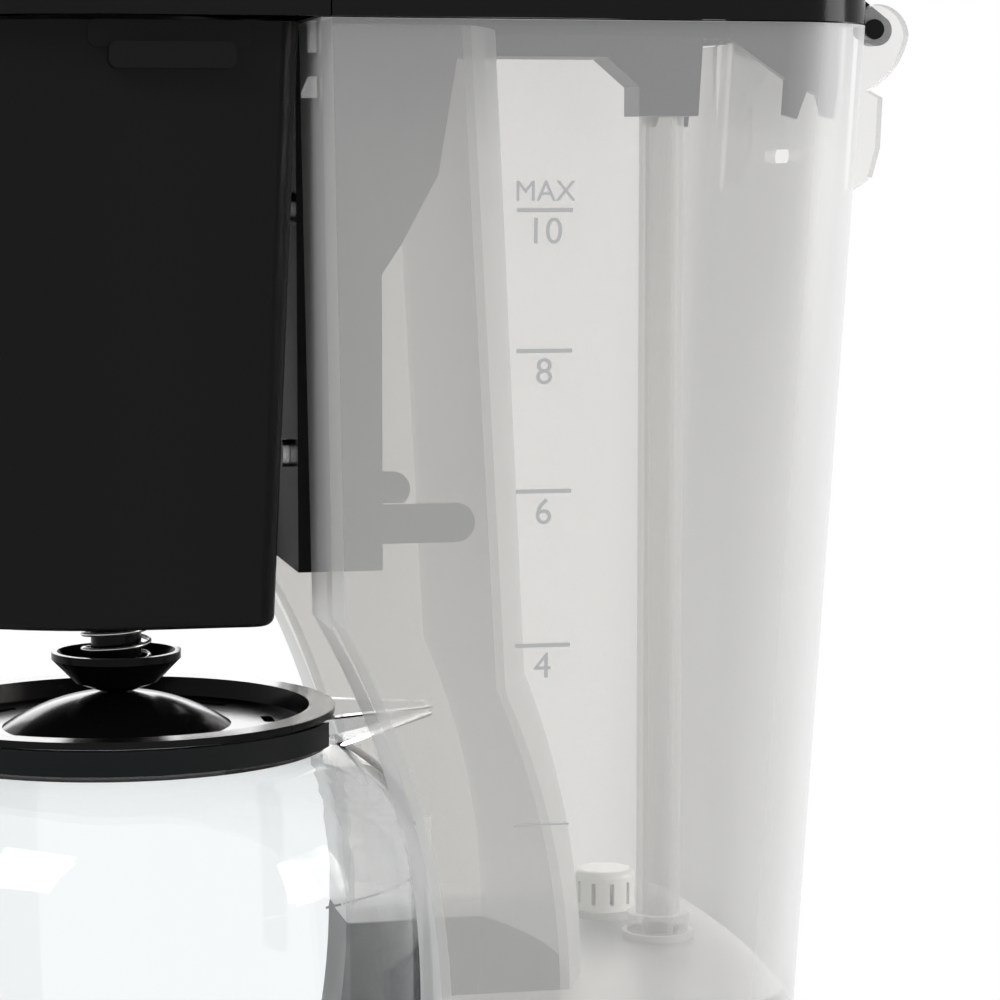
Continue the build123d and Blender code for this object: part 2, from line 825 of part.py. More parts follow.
lid_front_wall = cover_split_y + part_gap + cover_wall
arm_x = ear_x - ear_thickness / 2 - part_gap - arm_thickness
with BuildPart() as tank_lid:
    add(cover_shell(0, cover_low, cover_high, cover_split_y + part_gap, False))
    add(cover_shell(cover_wall, cover_low - 1, cover_high - cover_wall, lid_front_wall, False), mode=Mode.SUBTRACT)
    # Slots at the rear edge so that the ears stand clear as the lid turns
    with BuildSketch(Plane.XY.offset(cover_low)):
        with Locations((ear_x, hinge_y), (-ear_x, hinge_y)):
            Rectangle(ear_thickness + 2 * part_gap, 2 * (ear_back + 1.2))
    extrude(amount=cover_height, mode=Mode.SUBTRACT)
    for side in (-1, 1):
        inner = side * (arm_x + arm_thickness / 2) - arm_thickness / 2
        with BuildSketch(Plane.YZ.offset(inner)):
            with BuildLine():
                Polyline(
                    (hinge_y - arm_root, cover_low + 1),
                    (hinge_y - arm_root, cover_high - cover_wall),
                    (hinge_y - 4, cover_high - cover_wall),
                    (hinge_y + arm_end, hinge_z + arm_end / 2),
                )
                ThreePointArc(
                    (hinge_y + arm_end, hinge_z + arm_end / 2),
                    (hinge_y + arm_end, hinge_z - arm_end / 2),
                    (hinge_y, hinge_z - arm_under),
                )
                Polyline(
                    (hinge_y, hinge_z - arm_under),
                    (hinge_y - arm_under / 8, hinge_z - arm_under),
                    (hinge_y - arm_under / 8, cover_low + 1),
                    (hinge_y - arm_root, cover_low + 1),
                )
            make_face()
        extrude(amount=arm_thickness)
        peg_length = arm_thickness + part_gap + ear_thickness + 0.6
        peg_low = arm_x if side > 0 else -arm_x - peg_length
        with BuildSketch(Plane.YZ.offset(peg_low)):
            with Locations((hinge_y, hinge_z)):
                Circle(hinge_pin_radius)
        extrude(amount=peg_length)
    # Rib under each rear corner, with two pegs that reach down into the tank
    rib_top = cover_high - cover_wall
    for side in (-1, 1):
        with BuildSketch(Plane.YZ.offset(side * rib_x - rib_thickness / 2)):
            Polygon((rib_front, rib_top), *rib_outline, (rib_rear, rib_top), align=None)
        extrude(amount=rib_thickness)
keep(tank_lid.part, "tank_lid")

# Fixed front cover over the holder, and the spray parts that it carries
neck_y = cover_split_y - cover_wall
with BuildPart() as top_cover:
    add(cover_shell(0, cover_low, cover_high, cover_split_y, True))
    add(cover_shell(cover_wall, cover_low - 1, cover_high - cover_wall, neck_y, True), mode=Mode.SUBTRACT)
    with BuildSketch(Plane.XZ.offset(-neck_y + 1)):
        with Locations((0, cover_low)):
            Rectangle(2 * (duct_half_width + part_gap), cover_height)
    extrude(amount=-2 * cover_wall, mode=Mode.SUBTRACT)
    with BuildSketch(Plane.XY.offset(cover_low)):
        with Locations((swing_x, swing_y)):
            Circle(swing_barrel_radius)
    extrude(amount=cover_height - 2 * part_gap)
    with BuildSketch(Plane.XY.offset(cover_low)):
        with Locations((swing_x, swing_y)):
            Circle(swing_pin_radius + swing_clearance)
    extrude(amount=cover_height - cover_wall - part_gap, mode=Mode.SUBTRACT)
keep(top_cover.part, "top_cover")

channel_low = cover_low + spray_thickness + 0.2
channel_high = cover_high - cover_wall - part_gap
neck_front = holder_rear_top + part_gap
with BuildPart() as spray_duct:
    with BuildSketch(Plane.XY.offset(channel_low)):
        with Locations((0, neck_y / 2)):
            Rectangle(2 * duct_half_width, neck_y)
        Circle(duct_half_width)
    extrude(amount=channel_high - channel_low)
    with BuildSketch(Plane.XY.offset(duct_bottom)):
        with Locations((0, (neck_front + cover_split_y) / 2)):
            Rectangle(2 * duct_half_width, cover_split_y - neck_front)
    extrude(amount=channel_low + 1 - duct_bottom)
    with BuildSketch(Plane.XY.offset(channel_low + duct_wall)):
        with Locations((0, (neck_front + 1) / 2)):
            Rectangle(2 * (duct_half_width - duct_wall), neck_front + 1)
        Circle(duct_half_width - duct_wall)
    extrude(amount=channel_high - channel_low - 2 * duct_wall, mode=Mode.SUBTRACT)
    with BuildSketch(Plane.XY.offset(channel_low)):
        Circle(duct_half_width / 2)
    extrude(amount=duct_wall, mode=Mode.SUBTRACT)
keep(spray_duct.part, "spray_duct")

with BuildPart() as spray_plate:
    with BuildSketch(Plane.XY.offset(cover_low)):
        Circle(spray_radius)
    extrude(amount=spray_thickness)
    with BuildSketch(Plane.XY.offset(cover_low)):
        for ring_radius, count in spray_rings:
            with PolarLocations(ring_radius, count):
                Circle(spray_hole_radius)
    extrude(amount=spray_thickness, mode=Mode.SUBTRACT)
keep(spray_plate.part, "spray_plate")

# Bracket between the wings: it carries the holder's hinge and rests its arms on the tank
# Side outline, from the lower front corner up the front, then down the rear with its arm
arm_low = bracket_arm_z - bracket_arm_half
arm_high = bracket_arm_z + bracket_arm_half
lug_low = holder_bottom - part_gap - hinge_lug_height
with BuildPart() as bracket:
    with BuildSketch(Plane.YZ):
        with BuildLine():
            Polyline(
                (bracket_arm_tip - bracket_arm_half, arm_low),
                (bracket_rear, arm_low),
                (bracket_rear, bracket_bottom),
                (bracket_front, bracket_bottom),
                (bracket_front, bracket_top),
                (bracket_shelf_rear, bracket_top),
                (bracket_shelf_rear - 4, bracket_top - 24),
                (bracket_rear + 4, bracket_top - 38),
                (bracket_rear, bracket_top - 44),
                (bracket_rear, arm_high),
                (bracket_arm_tip - bracket_arm_half, arm_high),
            )
            ThreePointArc(
                (bracket_arm_tip - bracket_arm_half, arm_high),
                (bracket_arm_tip, bracket_arm_z),
                (bracket_arm_tip - bracket_arm_half, arm_low),
            )
        make_face()
    extrude(amount=bracket_half_width, both=True)
    # Open at the back between the two cheeks
    with BuildSketch(Plane.XY.offset(bracket_bottom + bracket_wall)):
        with Locations((0, bracket_front + bracket_wall)):
            Rectangle(2 * (bracket_half_width - bracket_wall), bay_radius_top, align=(Align.CENTER, Align.MIN))
    extrude(amount=bracket_top - bracket_bottom - 2 * bracket_wall, mode=Mode.SUBTRACT)
    # Arm that reaches sideways under the holder to its hinge
    with BuildSketch(Plane.XY.offset(lug_low)):
        with BuildLine():
            Polyline(
                (swing_x, swing_y - hinge_lug_radius),
                (-bracket_half_width + lug_root, bracket_front),
                (-bracket_half_width + lug_root, bracket_front + bracket_wall),
                (-bracket_half_width, bracket_front + bracket_wall),
                (swing_x, swing_y + hinge_lug_radius),
            )
            ThreePointArc(
                (swing_x, swing_y + hinge_lug_radius),
                (swing_x - hinge_lug_radius, swing_y),
                (swing_x, swing_y - hinge_lug_radius),
            )
        make_face()
    extrude(amount=hinge_lug_height)
    with BuildSketch(Plane.XY.offset(lug_low)):
        with Locations((-bracket_half_width + lug_root / 2, bracket_front + bracket_wall / 2)):
            Rectangle(lug_root, bracket_wall)
    extrude(amount=bracket_bottom - lug_low)
    with BuildSketch(Plane.XY.offset(lug_low + 1)):
        with Locations((swing_x, swing_y)):
            Circle(swing_pin_radius + swing_clearance)
    extrude(amount=hinge_lug_height, mode=Mode.SUBTRACT)
    with BuildSketch(Plane.XZ.offset(-bracket_front + 1)):
        with Locations(*[(x, z) for x in screw_xs for z in screw_zs]):
            Circle(bracket_screw_radius + part_gap)
    extrude(amount=-2 * bracket_wall, mode=Mode.SUBTRACT)
keep(bracket.part, "bracket")

pin_low = lug_low + 1.1
pin_high = cover_high - cover_wall - 2 * part_gap
with BuildPart() as holder_pin:
    with BuildSketch(Plane.XY.offset(pin_low)):
        with Locations((swing_x, swing_y)):
            Circle(swing_pin_radius)
    extrude(amount=pin_high - pin_low)
    chamfer(holder_pin.edges().filter_by(GeomType.CIRCLE), length=0.4)
keep(holder_pin.part, "holder_pin")


def holder_plan(z, inset=0.0, corner=holder_corner):
    """The holder's outline at height z: a round front and a flat rear with small corners."""
    share = (z - holder_bottom) / (holder_top - holder_bottom)
    half = blend_between(holder_half_width_low, holder_half_width_top, share) - inset
    rear = blend_between(holder_rear_low, holder_rear_top, share) - inset
    with BuildSketch(Plane.XY.offset(z)) as plan:
        with BuildLine():
            Polyline((half, 0), (half, rear), (-half, rear), (-half, 0))
            ThreePointArc((-half, 0), (0, -half), (half, 0))
        make_face()
        fillet(plan.vertices().group_by(Axis.Y)[-1], radius=corner)
    return plan.sketch


# Filter holder: an open tapered bucket with a finger grip on its free side
grip_side = holder_half_width_top
with BuildPart() as filter_holder:
    add(holder_plan(holder_bottom))
    add(holder_plan(holder_top))
    loft()
    fillet(filter_holder.edges().group_by(Axis.Z)[0], radius=holder_edge_round)
    add(holder_plan(holder_bottom + holder_floor, holder_wall))
    add(holder_plan(holder_top, holder_wall))
    loft(mode=Mode.SUBTRACT)
    with BuildSketch(Plane.XY.offset(holder_bottom)):
        with Locations((swing_x, swing_y)):
            Circle(swing_barrel_radius)
    extrude(amount=holder_top - holder_bottom)
    with BuildSketch(Plane.XY.offset(holder_bottom)):
        with Locations((swing_x, swing_y)):
            Circle(swing_pin_radius + swing_clearance)
    extrude(amount=holder_top - holder_bottom, mode=Mode.SUBTRACT)
    # Outlet for the drip stop's stem, in a raised collar inside
    with BuildSketch(Plane.XY.offset(holder_bottom + holder_floor / 2)):
        Circle(valve_stem_radius + holder_wall)
    extrude(amount=holder_floor / 2 + stem_guide)
    with BuildSketch(Plane.XY.offset(holder_bottom)):
        Circle(valve_stem_radius + valve_clearance)
    extrude(amount=holder_floor + stem_guide, mode=Mode.SUBTRACT)
    # Grip: a raised tongue below the rim and a lip to pull
    with BuildSketch(Plane.YZ.offset(grip_side - holder_wall)):
        with Locations((grip_y, holder_top - grip_tongue_height / 2)):
            RectangleRounded(2 * grip_tongue_half, grip_tongue_height, grip_tongue_height / 3)
    extrude(amount=holder_wall + grip_tongue_proud)
    with BuildSketch(Plane.YZ.offset(grip_side - holder_wall)):
        with Locations((grip_y, holder_top - grip_tongue_height - grip_lip_height / 2 + 1)):
            RectangleRounded(2 * grip_lip_half, grip_lip_height, grip_lip_height / 3)
    extrude(amount=holder_wall + grip_lip_reach)
keep(filter_holder.part, "filter_holder")

# Filter basket: a tapered insert that hangs inside the holder's rim and holds the paper
guide_top = holder_bottom + holder_floor + stem_guide
head_low = guide_top + valve_seal_height
basket_bottom = head_low + valve_head_height + valve_travel + 1
basket_top = holder_top - part_gap
basket_inset = holder_half_width_top + swing_x + swing_barrel_radius + part_gap
with BuildPart() as filter_basket:
    with BuildSketch(Plane.XY.offset(basket_bottom)):
        RectangleRounded(2 * basket_foot_half, 1.4 * basket_foot_half, basket_foot_half / 2)
    add(holder_plan(basket_top, basket_inset, basket_corner))
    loft()
    add(holder_plan(basket_top, holder_wall + part_gap).moved(Location((0, 0, -basket_rim_height))))
    extrude(amount=basket_rim_height)
    with BuildSketch(Plane.XY.offset(basket_bottom + basket_wall)):
        RectangleRounded(
            2 * (basket_foot_half - basket_wall),
            1.4 * basket_foot_half - 2 * basket_wall,
            basket_foot_half / 2 - basket_wall,
        )
    add(holder_plan(basket_top, basket_inset + basket_wall, basket_corner - basket_wall))
    loft(mode=Mode.SUBTRACT)
    with BuildSketch(Plane.XY.offset(basket_bottom)):
        with PolarLocations(basket_foot_half / 3, basket_slots):
            Rectangle(7, 1.6)
    extrude(amount=2 * basket_wall, mode=Mode.SUBTRACT)
    with BuildSketch(Plane.XY.offset(basket_top - 2 * basket_rim_height)):
        with Locations((swing_x, swing_y)):
            Circle(swing_barrel_radius + part_gap)
    extrude(amount=3 * basket_rim_height, mode=Mode.SUBTRACT)
keep(filter_basket.part, "filter_basket")

# Drip stop: a cup on a stem that the carafe's lid lifts, with its seal and spring
cup_floor = valve_cup_bottom + 2 * cup_wall
with BuildPart() as drip_valve:
    with BuildSketch(Plane.XZ):
        with BuildLine():
            Polyline(
                (0, valve_cup_bottom),
                (valve_foot_radius, valve_cup_bottom),
                (valve_foot_radius + 4.4, valve_cup_bottom + 1.6),
                (valve_cup_radius - 2, valve_cup_bottom + 4.6),
                (valve_cup_radius, valve_cup_rim - 1.6),
                (valve_cup_radius, valve_cup_rim),
                (valve_cup_radius - cup_wall, valve_cup_rim),
                (valve_cup_radius - cup_wall - 1.6, valve_cup_bottom + 5.6),
                (spring_radius + spring_wire + 0.3, cup_floor + 0.6),
                (spring_radius + spring_wire, cup_floor),
                (valve_stem_radius, cup_floor),
                (valve_stem_radius, head_low),
                (valve_head_radius, head_low),
                (valve_head_radius, head_low + valve_head_height / 2),
                (valve_stem_radius, head_low + valve_head_height),
                (0, head_low + valve_head_height),
                (0, valve_cup_bottom),
            )
        make_face()
    revolve(axis=Axis.Z)
    with BuildSketch(Plane.XY.offset(valve_cup_bottom)):
        Circle(valve_foot_radius / 2)
    extrude(amount=head_low - valve_cup_bottom, mode=Mode.SUBTRACT)
    # Cross port below the head: the seal covers it until the stem is lifted
    with BuildSketch(Plane.XY.offset(head_low - valve_port_height)):
        Rectangle(2 * valve_head_radius, valve_port_width)
        Rectangle(valve_port_width, 2 * valve_head_radius)
    extrude(amount=valve_port_height - valve_port_land, mode=Mode.SUBTRACT)
keep(drip_valve.part, "drip_valve")

with BuildPart() as valve_seal:
    with BuildSketch(Plane.XY.offset(guide_top)):
        Circle(valve_head_radius - 0.4)
        Circle(valve_stem_radius + valve_clearance, mode=Mode.SUBTRACT)
    extrude(amount=valve_seal_height - 0.1)
keep(valve_seal.part, "valve_seal")

# The spring: one tube on quarter turns, from the cup's floor to the holder's underside
spring_low = cup_floor + spring_wire / 2 + 0.1
spring_high = holder_bottom - spring_wire / 2 - 0.1
spring_pitch = (spring_high - spring_low) / spring_turns


def spring_point(turns):
    """The middle of the wire after a number of turns."""
    angle = 2 * pi * turns
    return (spring_radius * cos(angle), spring_radius * sin(angle), spring_low + spring_pitch * turns)


with BuildPart() as valve_spring:
    with BuildLine() as coil:
        for quarter in range(4 * spring_turns):
            first = quarter / 4
            ThreePointArc(spring_point(first), spring_point(first + 0.125), spring_point(first + 0.25))
    wire_path = coil.wire()
    with BuildSketch(Plane(origin=wire_path @ 0, z_dir=wire_path % 0)):
        Circle(spring_wire / 2)
    sweep(path=wire_path)
keep(valve_spring.part, "valve_spring")

samples = [spring_point(step / 48) for step in range(48 * spring_turns + 1)]
least_gap = min(
    (Vector(*samples[i]) - Vector(*samples[j])).length - spring_wire
    for i in range(len(samples))
    for j in range(i + 24, len(samples))
)
print(f"valve spring: {spring_turns} turns, least gap to itself {least_gap:.2f} mm")


def glass_body(inset=0.0):
    """The carafe's round form: foot, heel, belly, shoulder and upright neck."""
    low = glass_bottom_z + inset
    foot = (glass_foot_radius - inset / 2, low)
    heel = (glass_heel_radius - inset, glass_heel_z)
    belly = (glass_belly_radius - inset, glass_belly_z)
    shoulder = (glass_shoulder_radius - inset, glass_shoulder_z)
    neck = (glass_neck_radius - inset, glass_neck_z)
    top = glass_rim_z + inset
    with BuildPart() as body:
        with BuildSketch(Plane.XZ):
            with BuildLine():
                side = ThreePointArc(heel, belly, shoulder)
                TangentArc(shoulder, neck, tangent=side % 1)
                TangentArc(heel, foot, tangent=-(side % 0))
                Polyline(neck, (glass_neck_radius - inset, top), (0, top), (0, low), foot)
            make_face()
        revolve(axis=Axis.Z)
    return body.part


def spout_form(inset=0.0):
    """The pouring lip: a trough that narrows from the neck to its tip."""
    top = glass_rim_z + inset
    with BuildPart() as form:
        with BuildSketch(Plane.XZ.offset(-spout_root_y)):
            Polygon(
                (-spout_root_half + inset, top),
                (spout_root_half - inset, top),
                (spout_root_half / 2 - inset, spout_root_z + inset),
                (-spout_root_half / 2 + inset, spout_root_z + inset),
                align=None,
            )
        with BuildSketch(Plane.XZ.offset(-spout_tip_y)):
            Polygon(
                (-spout_tip_half + inset / 2, top),
                (spout_tip_half - inset / 2, top),
                (spout_tip_half / 2 - inset / 3, spout_tip_z + inset),
                (-spout_tip_half / 2 + inset / 3, spout_tip_z + inset),
                align=None,
            )
        loft()
    return form.part


# Carafe: blown glass with a pouring lip towards the tank
with BuildPart() as carafe_glass:
    add(glass_body())
    add(spout_form())
    add(glass_body(glass_wall), mode=Mode.SUBTRACT)
    add(spout_form(glass_wall * 0.8), mode=Mode.SUBTRACT)
keep(carafe_glass.part, "carafe_glass")

# Collar round the neck with a lug for the handle's screw
collar_inner = glass_neck_radius + collar_gap
collar_outer = collar_inner + collar_thickness
collar_top = glass_rim_z
handle_screw_y = lug_screw_back - collar_outer - lug_reach
with BuildPart() as carafe_collar:
    with BuildSketch(Plane.XY.offset(collar_bottom_z)):
        Circle(collar_outer)
        with Locations((0, -collar_outer)):
            Rectangle(2 * lug_half, 2 * lug_reach)
        Circle(collar_inner, mode=Mode.SUBTRACT)
        with Locations((0, collar_outer)):
            Rectangle(2 * (spout_root_half + 3), collar_outer, mode=Mode.SUBTRACT)
    extrude(amount=collar_top - collar_bottom_z)
    with BuildSketch(Plane.XY.offset(collar_bottom_z)):
        with Locations((0, handle_screw_y)):
            Circle(handle_screw_radius + screw_fit)
    extrude(amount=collar_top - collar_bottom_z, mode=Mode.SUBTRACT)
keep(carafe_collar.part, "carafe_collar")

# Handle: an arm from the collar and a grip that hangs in front of the glass
arm_low_z = handle_top_z - handle_thickness
grip_inner = -handle_reach + handle_thickness
with BuildPart() as carafe_handle:
    with BuildSketch(Plane.YZ):
        with BuildLine():
            Polyline(
                (-collar_inner, arm_low_z),
                (-collar_inner, handle_top_z),
                (-handle_reach + 2 * handle_thickness, handle_top_z),
            )
            RadiusArc(
                (-handle_reach + 2 * handle_thickness, handle_top_z),
                (-handle_reach, handle_top_z - 2 * handle_thickness),
                -2 * handle_thickness,
            )
            Polyline(
                (-handle_reach, handle_top_z - 2 * handle_thickness),
                (-handle_reach + 2, handle_bottom_z + handle_thickness / 2),
                (-handle_reach + 6, handle_bottom_z),
                (grip_inner + 5, handle_bottom_z),
                (grip_inner + 4, handle_bottom_z + handle_thickness),
                (grip_inner, arm_low_z - handle_thickness),
                (grip_inner + handle_thickness, arm_low_z),
                (-collar_inner, arm_low_z),
            )
        make_face()
    extrude(amount=handle_width / 2, both=True)
    fillet(carafe_handle.edges().filter_by(Axis.X, reverse=True).group_by(Axis.Y)[0:3], radius=3)
    with BuildSketch(Plane.XY.offset(arm_low_z)):
        Circle(collar_outer + collar_gap)
    extrude(amount=2 * handle_thickness, mode=Mode.SUBTRACT)
    add(glass_body(-part_gap), mode=Mode.SUBTRACT)
    with BuildSketch(Plane.XY.offset(collar_bottom_z - part_gap)):
        with Locations((0, -collar_outer)):
            Rectangle(2 * (lug_half + part_gap), 2 * (lug_reach + part_gap))
    extrude(amount=collar_top - collar_bottom_z + 2 * part_gap, mode=Mode.SUBTRACT)
    with BuildSketch(Plane.XY.offset(arm_low_z)):
        with Locations((0, handle_screw_y)):
            Circle(handle_screw_radius + screw_fit)
    extrude(amount=collar_top - arm_low_z, mode=Mode.SUBTRACT)
keep(carafe_handle.part, "carafe_handle")

with BuildPart() as handle_screw:
    with BuildSketch(Plane.XY.offset(arm_low_z - 0.2)):
        with Locations((0, handle_screw_y)):
            Circle(handle_screw_radius)
    extrude(amount=collar_top - arm_low_z)
    with BuildSketch(Plane.XY.offset(arm_low_z - screw_head_height)):
        with Locations((0, handle_screw_y)):
            Circle(screw_head_radius)
    extrude(amount=screw_head_height - 0.1)
keep(handle_screw.part, "handle_screw")

# Carafe lid: a dish with a dome in the middle that lifts the drip stop
lid_rim_low = glass_rim_z + part_gap
plug_radius = glass_neck_radius - glass_wall - lid_fit_gap
with BuildPart() as carafe_lid:
    with BuildSketch(Plane.XZ):
        with BuildLine():
            TangentArc((0, dome_top_z), (dome_radius, lid_dish_z), tangent=(1, 0))
            Polyline(
                (dome_radius, lid_dish_z),
                (plug_radius - lid_plate, lid_dish_z),
                (plug_radius - lid_plate + lid_rim_slope, lid_rim_top),
                (lid_rim_radius, lid_rim_top),
                (lid_rim_radius, lid_rim_low),
                (plug_radius, lid_rim_low),
                (plug_radius, lid_dish_z - lid_plug_depth / 2),
                (plug_radius - lid_plate, lid_dish_z - lid_plug_depth / 2),
                (plug_radius - lid_plate, lid_dish_z - lid_plate),
                (dome_radius - 1, lid_dish_z - lid_plate),
            )
            TangentArc((0, dome_top_z - lid_plate), (dome_radius - 1, lid_dish_z - lid_plate), tangent=(1, 0))
            Line((0, dome_top_z - lid_plate), (0, dome_top_z))
        make_face()
    revolve(axis=Axis.Z)
    with BuildSketch(Plane.XY.offset(lid_dish_z - 2 * lid_plate)):
        with PolarLocations(lid_slot_radius, lid_slots):
            SlotOverall(8, 2.4, rotation=90)
    extrude(amount=3 * lid_plate, mode=Mode.SUBTRACT)
keep(carafe_lid.part, "carafe_lid")

# Switch in the front wall: its body, and a rocker that is tipped to its off side
switch_front = -base_half_width - 1.2
switch_inner_x = rocker_half_width + rocker_play
switch_inner_z = rocker_half_height + rocker_play
with BuildPart() as switch_body:
    with BuildSketch(Plane.XZ.offset(-switch_front)):
        with Locations((0, rocker_z)):
            Rectangle(
                2 * (rocker_half_width + bezel_wall - part_gap), 2 * (rocker_half_height + bezel_wall - part_gap)
            )
    extrude(amount=-switch_depth)
    with BuildSketch(Plane.XZ.offset(-switch_front)):
        with Locations((0, rocker_z)):
            Rectangle(2 * switch_inner_x, 2 * switch_inner_z)
    extrude(amount=-rocker_depth - 3, mode=Mode.SUBTRACT)
    with BuildSketch(Plane.YZ.offset(-2 * rocker_half_width)):
        with Locations((switch_front + rocker_depth / 2, rocker_z)):
            Circle(rocker_pin_radius + hinge_clearance)
    extrude(amount=4 * rocker_half_width, mode=Mode.SUBTRACT)
keep(switch_body.part, "switch_body")

rocker_y = switch_front + rocker_depth / 2
rocker_tilted = Plane(
    origin=(-rocker_half_width, rocker_y, rocker_z),
    x_dir=(0, cos(radians(rocker_tilt)), sin(radians(rocker_tilt))),
    z_dir=(1, 0, 0),
)
with BuildPart() as switch_rocker:
    with BuildSketch(rocker_tilted):
        Polygon(
            (-rocker_depth / 2 - 0.6, rocker_half_height - 0.4),
            (-rocker_depth / 2 + 0.6, 0),
            (-rocker_depth / 2 - 0.6, -rocker_half_height + 0.4),
            (rocker_depth / 2 - 0.6, -rocker_half_height + 1.4),
            (rocker_depth / 2, 0),
            (rocker_depth / 2 - 0.6, rocker_half_height - 1.4),
            align=None,
        )
    extrude(amount=2 * rocker_half_width)
    with BuildSketch(Plane.YZ.offset(-rocker_half_width - bezel_wall)):
        with Locations((rocker_y, rocker_z)):
            Circle(rocker_pin_radius)
    extrude(amount=2 * (rocker_half_width + bezel_wall))
keep(switch_rocker.part, "switch_rocker")

# Cord inlet: a bushing in the rear wall
with BuildPart() as cord_inlet:
    with BuildSketch(Plane.XZ.offset(-base_rear + 12)):
        with Locations((inlet_x, inlet_z)):
            Circle(inlet_radius)
    extrude(amount=-16)
    with BuildSketch(Plane.XZ.offset(-base_rear)):
        with Locations((inlet_x, inlet_z)):
            Circle(inlet_radius + 1.6)
    extrude(amount=-4)
    with BuildSketch(Plane.XZ.offset(-base_rear + 12)):
        with Locations((inlet_x, inlet_z)):
            Circle(inlet_bore)
    extrude(amount=-16, mode=Mode.SUBTRACT)
keep(cord_inlet.part, "cord_inlet")

with BuildPart() as bracket_screws:
    for x in screw_xs:
        for z in screw_zs:
            with BuildSketch(Plane.XZ.offset(-bracket_front)):
                with Locations((x, z)):
                    Circle(bracket_screw_radius)
            extrude(amount=-bracket_wall - 1)
            with BuildSketch(Plane.XZ.offset(-bracket_front + 1.4)):
                with Locations((x, z)):
                    Circle(screw_head_radius - 0.4)
            extrude(amount=-1.3)
keep(bracket_screws.part, "bracket_screws")
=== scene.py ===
# %% [markdown]
# # A filter coffee maker in Blender
# The CAD model gives every shape and every joint. This scene adds the looks: the frosted
# tank with its cup marks, glossy and satin black plastic, the glass carafe, steel and
# silicone, and a plain white studio seen through a long lens.

import json
from math import cos, pi, sin

import bpy
import numpy as np
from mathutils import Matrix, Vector


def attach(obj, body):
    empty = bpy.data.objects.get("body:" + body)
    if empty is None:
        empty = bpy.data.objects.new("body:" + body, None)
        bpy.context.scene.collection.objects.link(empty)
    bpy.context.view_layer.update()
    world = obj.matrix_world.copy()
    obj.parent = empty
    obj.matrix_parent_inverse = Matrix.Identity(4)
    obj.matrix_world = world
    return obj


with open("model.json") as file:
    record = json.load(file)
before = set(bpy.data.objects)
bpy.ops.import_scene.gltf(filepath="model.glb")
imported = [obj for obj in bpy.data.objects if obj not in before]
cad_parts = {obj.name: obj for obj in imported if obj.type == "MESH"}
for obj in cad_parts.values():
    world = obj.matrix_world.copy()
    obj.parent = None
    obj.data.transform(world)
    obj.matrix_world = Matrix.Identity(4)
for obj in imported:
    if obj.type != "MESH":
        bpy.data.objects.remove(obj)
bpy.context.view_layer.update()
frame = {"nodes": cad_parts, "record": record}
MM = 0.001

# %% [markdown]
# ## Shared effects
# A fine grain is one node group, so every moulded plastic shares it. It reads Object
# coordinates, so its size is the same on every piece.

# %%


BROAD_SCALE = 30.0
BROAD_RANGE = {"From Min": 0.3, "From Max": 0.7, "To Min": 0.9, "To Max": 1.1}


def grain_group():
    """A node group that turns a fine noise into a bumped normal and a small change of roughness."""
    group = bpy.data.node_groups.new("fine_grain", "ShaderNodeTree")
    group.interface.new_socket("Scale", in_out="INPUT", socket_type="NodeSocketFloat")
    group.interface.new_socket("Depth", in_out="INPUT", socket_type="NodeSocketFloat")
    group.interface.new_socket("Roughness", in_out="INPUT", socket_type="NodeSocketFloat")
    group.interface.new_socket("Normal", in_out="OUTPUT", socket_type="NodeSocketVector")
    group.interface.new_socket("Roughness", in_out="OUTPUT", socket_type="NodeSocketFloat")
    nodes = group.nodes
    links = group.links
    entry = nodes.new("NodeGroupInput")
    leave = nodes.new("NodeGroupOutput")
    place = nodes.new("ShaderNodeTexCoord")
    noise = nodes.new("ShaderNodeTexNoise")
    noise.inputs["Detail"].default_value = 2.0
    links.new(place.outputs["Object"], noise.inputs["Vector"])
    links.new(entry.outputs["Scale"], noise.inputs["Scale"])
    bump = nodes.new("ShaderNodeBump")
    bump.inputs["Strength"].default_value = 1.0
    links.new(entry.outputs["Depth"], bump.inputs["Distance"])
    links.new(noise.outputs["Fac"], bump.inputs["Height"])
    broad = nodes.new("ShaderNodeTexNoise")
    broad.inputs["Scale"].default_value = BROAD_SCALE
    links.new(place.outputs["Object"], broad.inputs["Vector"])
    vary = nodes.new("ShaderNodeMapRange")
    for end, value in BROAD_RANGE.items():
        vary.inputs[end].default_value = value
    links.new(broad.outputs["Fac"], vary.inputs["Value"])
    times = nodes.new("ShaderNodeMath")
    times.operation = "MULTIPLY"
    links.new(vary.outputs["Result"], times.inputs[0])
    links.new(entry.outputs["Roughness"], times.inputs[1])
    links.new(bump.outputs["Normal"], leave.inputs["Normal"])
    links.new(times.outputs["Value"], leave.inputs["Roughness"])
    return group


GRAIN = grain_group()


def surface(name, colour, roughness, grain=(1500.0, 0.0), **extra):
    """A Principled material with the shared grain. Each extra keyword is a socket's name and value."""
    material = bpy.data.materials.new(name)
    material.use_nodes = True
    nodes = material.node_tree.nodes
    links = material.node_tree.links
    shader = nodes["Principled BSDF"]
    shader.inputs["Base Color"].default_value = (*colour, 1.0)
    for key, value in extra.items():
        shader.inputs[key.replace("_", " ")].default_value = value
    effect = nodes.new("ShaderNodeGroup")
    effect.node_tree = GRAIN
    effect.inputs["Scale"].default_value = grain[0]
    effect.inputs["Depth"].default_value = grain[1]
    effect.inputs["Roughness"].default_value = roughness
    links.new(effect.outputs["Roughness"], shader.inputs["Roughness"])
    if grain[1] > 0:
        links.new(effect.outputs["Normal"], shader.inputs["Normal"])
    return material


